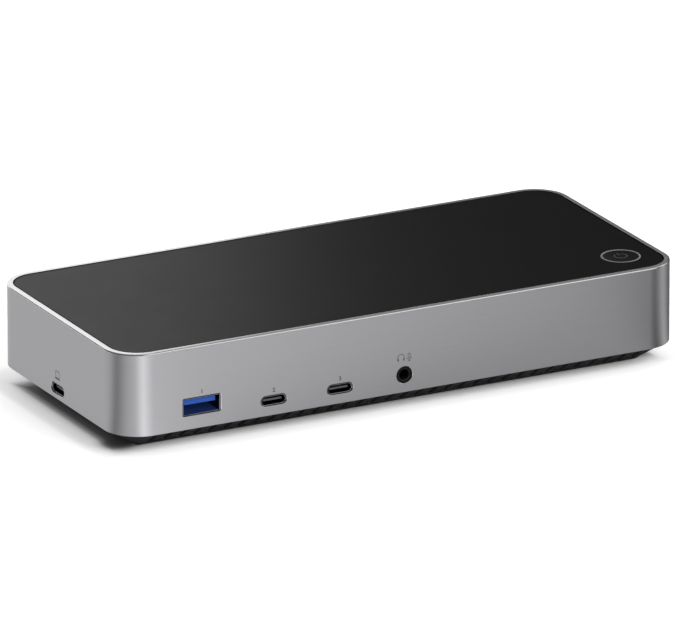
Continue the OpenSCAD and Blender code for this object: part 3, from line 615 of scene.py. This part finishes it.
def pocket(bm, face, margin, depth, lining):
    """Insets a face and sinks it: the walls of a recess, lined with one of the piece's finishes."""
    bmesh.ops.inset_region(bm, faces=[face], thickness=margin, use_even_offset=True)
    sunk = bmesh.ops.extrude_face_region(bm, geom=[face])["geom"]
    bmesh.ops.delete(bm, geom=[face], context="FACES_ONLY")
    points = [v for v in sunk if isinstance(v, bmesh.types.BMVert)]
    bmesh.ops.translate(bm, verts=points, vec=depth)
    for side in {f for v in points for f in v.link_faces}:
        side.material_index = lining


def satin_aluminium():
    """Bead-blasted and finely brushed aluminium: a fine grain and faint level streaks."""
    finish = Finish("satin_aluminium", (0.42, 0.415, 0.43), 0.34, 1.0)
    grain = finish.noise(0.16, 3)
    streak = finish.noise(0.35, 3, (0.02, 0.02, 1))
    mix = grain * 0.6 + streak * 0.4
    finish.feed("Base Color", finish.blend(mix, (0.37, 0.365, 0.38), (0.47, 0.465, 0.485)))
    finish.feed("Roughness", mix * 0.14 + 0.27)
    finish.bump(mix, 0.012)
    return finish


satin = satin_aluminium()
polished = plated("polished_aluminium", (0.86, 0.86, 0.87), 0.2, 0.05)
blasted_rim = plated("blasted_rim", (0.92, 0.92, 0.93), 0.24, 0.05, 0.8)

shell = rounded_block(HOUSING_LOW, HOUSING_HIGH, CORNER_R, CORNER_STEPS)
for face in bevel_rim(shell, end_face(shell, (0, 0, 1)), CHAMFER):
    face.material_index = 1
end_face(shell, (0, 0, 1)).material_index = 2
pocket(shell, end_face(shell, (0, 0, 1)), RIM - CHAMFER, Vector((0, 0, PANEL_LOW.z - HOUSING_HIGH.z)), 3)
housing = keep(shell, "housing_shell", [satin, polished, blasted_rim, black_plastic])


def hollow(inset, low, high):
    """The space inside the walls, a given distance in from their outer faces."""
    corner = Vector((inset, inset, 0))
    return rounded_block(Vector((*HOUSING_LOW.xy, low)) + corner, Vector((*HOUSING_HIGH.xy, high)) - corner,
                         CORNER_R - inset, CORNER_STEPS)


inside = [hollow(WALL, DECK_LOW, PANEL_LOW.z + 0.5 * MM),
          hollow(WALL + LEDGE, LEDGE_LOW - MM, DECK_LOW + MM),
          hollow(WALL, HOUSING_LOW.z - MM, LEDGE_LOW)]


def prism(width, height, radius, depth, steps):
    """An upright outline, as seen from the front, carried from y 0 back to y depth."""
    bm = rounded_block((-width / 2, -height / 2, 0), (width / 2, height / 2, depth), radius, steps)
    bmesh.ops.rotate(bm, verts=bm.verts, cent=(0, 0, 0), matrix=Matrix.Rotation(math.radians(90), 3, "X"))
    bmesh.ops.translate(bm, verts=bm.verts, vec=(0, depth, 0))
    return bm


def cut(piece, cutters):
    """Takes the cutters out of the piece one by one."""
    for bm in cutters:
        mesh = bpy.data.meshes.new("cutter")
        bmesh.ops.recalc_face_normals(bm, faces=bm.faces)
        bm.to_mesh(mesh)
        bm.free()
        for finish in piece.data.materials:
            mesh.materials.append(finish)
        cutter = bpy.data.objects.new("cutter", mesh)
        scene.collection.objects.link(cutter)
        step = piece.modifiers.new("cut", "BOOLEAN")
        step.operation = "DIFFERENCE"
        step.object = cutter
        step.solver = "EXACT"
        step.material_mode = "INDEX"
        done = piece.evaluated_get(bpy.context.evaluated_depsgraph_get())
        result = bpy.data.meshes.new_from_object(done)
        piece.modifiers.clear()
        piece.data = result
        bpy.data.objects.remove(cutter)
    bm = bmesh.new()
    bm.from_mesh(piece.data)
    shade(bm)
    bm.to_mesh(piece.data)
    bm.free()


def outline_prism(points, depth):
    """An upright outline with straight edges, given by its corners, carried back to y depth."""
    bm = bmesh.new()
    front = bm.faces.new([bm.verts.new((x, 0, z)) for x, z in points])
    made = bmesh.ops.extrude_face_region(bm, geom=[front])["geom"]
    bmesh.ops.translate(bm, verts=[v for v in made if isinstance(v, bmesh.types.BMVert)], vec=(0, depth, 0))
    bmesh.ops.recalc_face_normals(bm, faces=bm.faces)
    return bm


def flared(bm, width, height):
    """Opens the outer end of a cutter by 45 degrees, for a port at the origin that faces the front."""
    front = end_face(bm, (0, -1, 0))
    made = bmesh.ops.extrude_face_region(bm, geom=[front])["geom"]
    bmesh.ops.delete(bm, geom=[front], context="FACES_ONLY")
    tip = [v for v in made if isinstance(v, bmesh.types.BMVert)]
    reach = 2 * PORT_CHAMFER
    grow = 2 * reach
    bmesh.ops.translate(bm, verts=tip, vec=(0, -reach, 0))
    bmesh.ops.scale(bm, verts=tip, vec=(1 + grow / width, 1, 1 + grow / height))
    bmesh.ops.translate(bm, verts=bm.verts, vec=(0, PORT_CHAMFER, 0))
    for face in bm.faces:
        slanted = 0.2 < abs(face.normal.y) < 0.95
        face.material_index = 1 if slanted else 0
    return bm


def facing(bm, place, quarter_turns):
    """Turns a shape from the front to another wall and brings it to its place."""
    bmesh.ops.rotate(bm, verts=bm.verts, cent=(0, 0, 0),
                     matrix=Matrix.Rotation(math.radians(90 * quarter_turns), 3, "Z"))
    bmesh.ops.translate(bm, verts=bm.verts, vec=place)
    return bm


FRONT, BACK, LEFT = 0, 2, -1


def port(spot, width, height, radius, wall=FRONT, steps=8):
    """A flared cut for a port at a spot of a wall; only its two coordinates on the wall count."""
    place = {FRONT: Vector((spot.x, HOUSING_LOW.y, spot.z)), BACK: Vector((spot.x, HOUSING_HIGH.y, spot.z)),
             LEFT: Vector((HOUSING_LOW.x, spot.y, spot.z))}[wall]
    return facing(flared(prism(width, height, radius, WALL_REACH, steps), width, height), place, wall)


def middle_of(node):
    """The middle of a node's box."""
    low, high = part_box(node)
    return (low + high) / 2


ports = [port(middle_of(node + "_tongue"), *size, wall) for node, size, wall in [
    ("front_type_a", FLAT_CUT, FRONT), ("front_type_c_1", OVAL_CUT, FRONT),
    ("front_type_c_2", OVAL_CUT, FRONT), ("host_type_c", OVAL_CUT, LEFT),
    ("rear_type_a_1", FLAT_CUT, BACK), ("rear_type_a_2", FLAT_CUT, BACK)]]
jack = middle_of("audio_jack_body")
ports.append(port(jack, 2 * NOSE_R, 2 * NOSE_R, NOSE_R * NEARLY_ROUND, FRONT, NOSE_STEPS))
ports.append(port(middle_of("power_inlet_pin"), *INLET_CUT, BACK))
low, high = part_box("network_jack_shield")
ports.append(port(middle_of("network_jack_shield"), (high - low).x + 2 * CUT_GAP,
                  (high - low).z + 2 * CUT_GAP, NETWORK_CUT_R, BACK))


def angular_port(node, corners):
    """The cut for a rear socket whose outline has straight cut corners."""
    low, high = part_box(node)
    w, h = (high - low).x / 2 + CUT_GAP, (high - low).z / 2 + CUT_GAP
    outline = [(sign_x * w + dx * MM, sign_z * h + dz * MM) for sign_x, sign_z, dx, dz in corners]
    spot = Vector(((low.x + high.x) / 2, HOUSING_HIGH.y, (low.z + high.z) / 2))
    return facing(flared(outline_prism(outline, WALL_REACH), 2 * w, 2 * h), spot, BACK)


# Corners of the outlines: the side of the middle in x and z, then the shift from there in millimetres
VIDEO_CORNERS = [(-1, 1, 0, 0), (1, 1, 0, 0), (1, -1, 0, 2.2), (1, -1, -1.9, 0), (-1, -1, 1.9, 0),
                 (-1, -1, 0, 2.2)]
SCREEN_CORNERS = [(-1, 1, 0, 0), (1, 1, 0, 0), (1, -1, 0, 0), (-1, -1, 2, 0), (-1, -1, 0, 2)]
for number in "12":
    ports.append(angular_port(f"video_port_{number}_shell", VIDEO_CORNERS))
    ports.append(angular_port(f"screen_port_{number}_shell", SCREEN_CORNERS))
cut(housing, inside + ports)
stand_for("housing")

# ---------------------------------------------------------------------------
# Top panel. A black satin sheet with softly broken edges, let into the rim and
# bonded to the deck, with a round hole for the button.
# ---------------------------------------------------------------------------
ROUND_STEPS = 96
PANEL_GAP = 0.3 * MM
PANEL_BEVEL = 0.4 * MM
RING_R = 6.45 * MM
RING_GAP = 0.15 * MM
SATIN_GLOSS = 0.135
button = middle_of("button_light_ring")


def satin_black(name, colour, roughness):
    """Black satin sheet: very fine grain, faint clouds in its gloss."""
    finish = Finish(name, colour, roughness, Specular_IOR_Level=SATIN_GLOSS)
    grain = finish.noise(0.09, 2)
    cloud = finish.noise(14, 2)
    finish.feed("Base Color", finish.blend(grain, colour, tuple(c * 1.25 for c in colour)))
    finish.feed("Roughness", cloud * 0.05 + grain * 0.06 + (roughness - 0.05))
    finish.bump(grain, 0.004)
    return finish


panel_black = satin_black("panel_black", (0.0055, 0.0055, 0.0056), 0.37)
panel_sheet = rounded_block(PANEL_LOW, PANEL_HIGH, CORNER_R - RIM - PANEL_GAP, CORNER_STEPS)
bevel_rim(panel_sheet, end_face(panel_sheet, (0, 0, 1)), PANEL_BEVEL)
panel = keep(panel_sheet, "top_sheet", [panel_black])


def upright_cylinder(radius, low, high):
    """A round cutter about the button's axis."""
    bm = bmesh.new()
    bmesh.ops.create_cone(bm, cap_ends=True, segments=ROUND_STEPS, radius1=radius, radius2=radius,
                          depth=high - low)
    bmesh.ops.translate(bm, verts=bm.verts, vec=(button.x, button.y, (low + high) / 2))
    return bm


cut(panel, [upright_cylinder(RING_R + RING_GAP, PANEL_LOW.z - MM, PANEL_HIGH.z + MM)])
stand_for("top_panel")

refined("deck_frame", "deck_moulding", 0.1, black_plastic)

# ---------------------------------------------------------------------------
# Power button. A hollow black cap slides in the bore of a frosted light ring and
# presses a small switch on its own board.
# ---------------------------------------------------------------------------
RING_LOW, RING_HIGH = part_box("button_light_ring")
RING_BORE = 5.85 * MM
RING_FLANGE = 8.05 * MM
RING_EDGE = 0.08 * MM
CAP_LOW, CAP_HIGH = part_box("button_cap")
CAP_R = RING_BORE - 0.06 * MM
CAP_FLANGE = 7.05 * MM
CAP_FLANGE_LOW = RING_LOW.z - 0.9 * MM
CAP_BORE = CAP_R - 1.1 * MM
CAP_CEILING = CAP_HIGH.z - 1.4 * MM
CAP_EDGE = 0.25 * MM
STEM_R = 1.6 * MM


def turned(name, profile, finish, body="dock"):
    """A piece of revolution round the button's axis from (radius, height) points."""
    bm = bmesh.new()
    points = [bm.verts.new((button.x + r, button.y, z)) for r, z in profile]
    edges = [bm.edges.new(pair) for pair in zip(points, points[1:])]
    if profile[0][0] > 0 and profile[-1][0] > 0:
        edges.append(bm.edges.new((points[-1], points[0])))
    bmesh.ops.spin(bm, geom=points + edges, cent=(button.x, button.y, 0), axis=(0, 0, 1),
                   angle=math.radians(360), steps=ROUND_STEPS, use_merge=True)
    bmesh.ops.remove_doubles(bm, verts=bm.verts, dist=0.0005 * MM)
    bmesh.ops.recalc_face_normals(bm, faces=bm.faces)
    return keep(bm, name, [finish], body)


def frosted_guide():
    """Frosted clear plastic, grey while the lamps under it are off."""
    finish = Finish("frosted_guide", (0.24, 0.245, 0.255), 0.35)
    grain = finish.noise(0.2, 2)
    finish.feed("Base Color", finish.blend(grain, (0.20, 0.205, 0.215), (0.28, 0.285, 0.295)))
    finish.bump(grain, 0.004)
    return finish


ring = turned("light_ring", [
    (RING_BORE, RING_LOW.z), (RING_FLANGE, RING_LOW.z), (RING_FLANGE, DECK_LOW), (RING_R, DECK_LOW),
    (RING_R, RING_HIGH.z - RING_EDGE), (RING_R - RING_EDGE, RING_HIGH.z),
    (RING_BORE + RING_EDGE, RING_HIGH.z), (RING_BORE, RING_HIGH.z - RING_EDGE)], frosted_guide())
stand_for("button_light_ring")

cap_black = satin_black("button_black", (0.009, 0.009, 0.010), 0.32)
cap = turned("power_button_cap", [
    (0, CAP_HIGH.z), (CAP_R - CAP_EDGE, CAP_HIGH.z), (CAP_R - 0.08 * MM, CAP_HIGH.z - 0.06 * MM),
    (CAP_R, CAP_HIGH.z - CAP_EDGE), (CAP_R, RING_LOW.z), (CAP_FLANGE, RING_LOW.z),
    (CAP_FLANGE, CAP_FLANGE_LOW), (CAP_BORE, CAP_FLANGE_LOW), (CAP_BORE, CAP_CEILING),
    (STEM_R, CAP_CEILING), (STEM_R, CAP_LOW.z), (0, CAP_LOW.z)], cap_black, "power_button")
stand_for("button_cap")

red_plastic = moulded("red_plunger", (0.30, 0.04, 0.03), 0.45)
refined("switch_plunger", "switch_red_plunger", 0.1, red_plastic, "switch_plunger")
refined("switch_body", "switch_black_body", 0.1, black_plastic)
paint(gilt, "switch_dome")
led_resin = Finish("led_resin", (0.85, 0.82, 0.6), 0.2)
led_resin.bump(led_resin.noise(0.4, 1), 0.01)
paint(led_resin, "ring_leds")

# ---------------------------------------------------------------------------
# Printed signs. Grey ink on the walls beside the ports, and a fainter sign on the
# cap: films two hundredths of a millimetre thick.
# ---------------------------------------------------------------------------
INK = 0.02 * MM
FRONT_INK_Y = HOUSING_LOW.y - INK / 2
LEFT_INK_X = HOUSING_LOW.x - INK / 2
LINE = 0.2
DIGIT_HEIGHT = 1.9
DIGIT_WEIGHT = 0.05
DIGIT_RISE = 1.0 * MM
LAPTOP_RISE = 1.6 * MM
HEADPHONES_SHIFT = (-1.25 * MM, 2.05 * MM)
MICROPHONE_SHIFT = (1.65 * MM, 1.8 * MM)
ink_grey = moulded("grey_ink", (0.06, 0.062, 0.065), 0.6, 0.3, 0.002)
cap_ink = moulded("cap_ink", (0.085, 0.085, 0.09), 0.5, 0.3, 0.002)


def stroke(bm, a, b, width):
    """A straight stroke of ink from a to b, in millimetres on the sign's plane."""
    a, b = Vector(a), Vector(b)
    made = bmesh.ops.create_cube(bm, size=1.0)["verts"]
    bmesh.ops.scale(bm, verts=made, vec=((b - a).length, width, INK / MM))
    angle = math.atan2(b.y - a.y, b.x - a.x)
    bmesh.ops.rotate(bm, verts=made, cent=(0, 0, 0), matrix=Matrix.Rotation(angle, 3, "Z"))
    bmesh.ops.translate(bm, verts=made, vec=((a.x + b.x) / 2, (a.y + b.y) / 2, 0))


def arc(bm, centre, radius, width, start, painted_reflection, steps=32):
    """A round stroke of ink: a small section spun about the centre."""
    c = Vector((*centre, 0))
    half, high = width / 2, INK / MM / 2
    corners = [(radius - half, -high), (radius + half, -high), (radius + half, high), (radius - half, high)]
    begin = math.radians(start)
    points = [bm.verts.new(c + Vector((r * math.cos(begin), r * math.sin(begin), z))) for r, z in corners]
    face = bm.faces.new(points)
    bmesh.ops.spin(bm, geom=[face], cent=c, axis=(0, 0, 1), angle=math.radians(painted_reflection), steps=steps)


def sign(bm, name, place, wall, finish, body="dock", flat=False):
    """Lays a sign drawn in millimetres on a wall, or flat on top."""
    bmesh.ops.scale(bm, verts=bm.verts, vec=(MM, MM, MM))
    if not flat:
        bmesh.ops.rotate(bm, verts=bm.verts, cent=(0, 0, 0),
                         matrix=Matrix.Rotation(math.radians(90), 3, "X"))
    bmesh.ops.recalc_face_normals(bm, faces=bm.faces)
    keep(facing(bm, place, wall), name, [finish], body)


def digit_sign(text, name, x, z):
    """A plain number, drawn with the built-in letter outlines and turned into a mesh."""
    letter = bpy.data.curves.new(name, "FONT")
    letter.body = text
    letter.size = DIGIT_HEIGHT
    letter.offset = DIGIT_WEIGHT
    letter.align_x = "CENTER"
    letter.extrude = INK / MM / 2
    letter.resolution_u = 6
    drawn = bpy.data.objects.new(name, letter)
    scene.collection.objects.link(drawn)
    bpy.context.view_layer.update()
    done = drawn.evaluated_get(bpy.context.evaluated_depsgraph_get())
    mesh = bpy.data.meshes.new_from_object(done)
    bpy.data.objects.remove(drawn)
    bm = bmesh.new()
    bm.from_mesh(mesh)
    bmesh.ops.remove_doubles(bm, verts=bm.verts, dist=0.0005)
    sign(bm, name, (x, FRONT_INK_Y, z), FRONT, ink_grey)


for text, node, size in (("1", "front_type_a", FLAT_CUT), ("2", "front_type_c_1", OVAL_CUT),
                         ("3", "front_type_c_2", OVAL_CUT)):
    digit_sign(text, node + "_number", middle_of(node + "_shell").x,
               middle_of(node + "_tongue").z + size[1] / 2 + DIGIT_RISE)


def above_jack(shift):
    """A spot on the front wall, sideways and up from the top of the audio jack."""
    return (jack.x + shift[0], FRONT_INK_Y, jack.z + NOSE_R + shift[1])


headphones = bmesh.new()
arc(headphones, (0, 1.0), 1.15, LINE, 0, 180)
for side in (-1, 1):
    stroke(headphones, (side * 1.15, 1.0), (side * 1.15, 0.1), LINE)
    stroke(headphones, (side * 1.02, 0.75), (side * 1.02, -0.1), 0.46)
sign(headphones, "headphones_sign", above_jack(HEADPHONES_SHIFT), FRONT, ink_grey)

microphone = bmesh.new()
arc(microphone, (0, 2.0), 0.38, LINE, 0, 180, 16)
arc(microphone, (0, 1.25), 0.38, LINE, 180, 180, 16)
for side in (-1, 1):
    stroke(microphone, (side * 0.38, 1.25), (side * 0.38, 2.0), LINE)
arc(microphone, (0, 1.2), 0.8, LINE, 190, 160, 16)
stroke(microphone, (0, 0.42), (0, -0.1), LINE)
stroke(microphone, (-0.5, -0.1), (0.5, -0.1), LINE)
sign(microphone, "microphone_sign", above_jack(MICROPHONE_SHIFT), FRONT, ink_grey)

laptop = bmesh.new()
for a, b in [((-1.2, 0.35), (-1.2, 2.6)), ((1.2, 0.35), (1.2, 2.6)), ((-1.3, 2.6), (1.3, 2.6)),
             ((-1.3, 0.45), (1.3, 0.45))]:
    stroke(laptop, a, b, LINE)
stroke(laptop, (-1.7, 0.1), (1.7, 0.1), 0.3)
host = middle_of("host_type_c_tongue")
sign(laptop, "laptop_sign", (LEFT_INK_X, host.y, host.z + OVAL_CUT[1] / 2 + LAPTOP_RISE), LEFT, ink_grey)

power = bmesh.new()
arc(power, (0, 0), 2.05, 0.3, 122, 296)
stroke(power, (0, 0.6), (0, 2.6), 0.3)
sign(power, "power_sign", (button.x, button.y, CAP_HIGH.z + INK / 2), FRONT, cap_ink, "power_button", True)
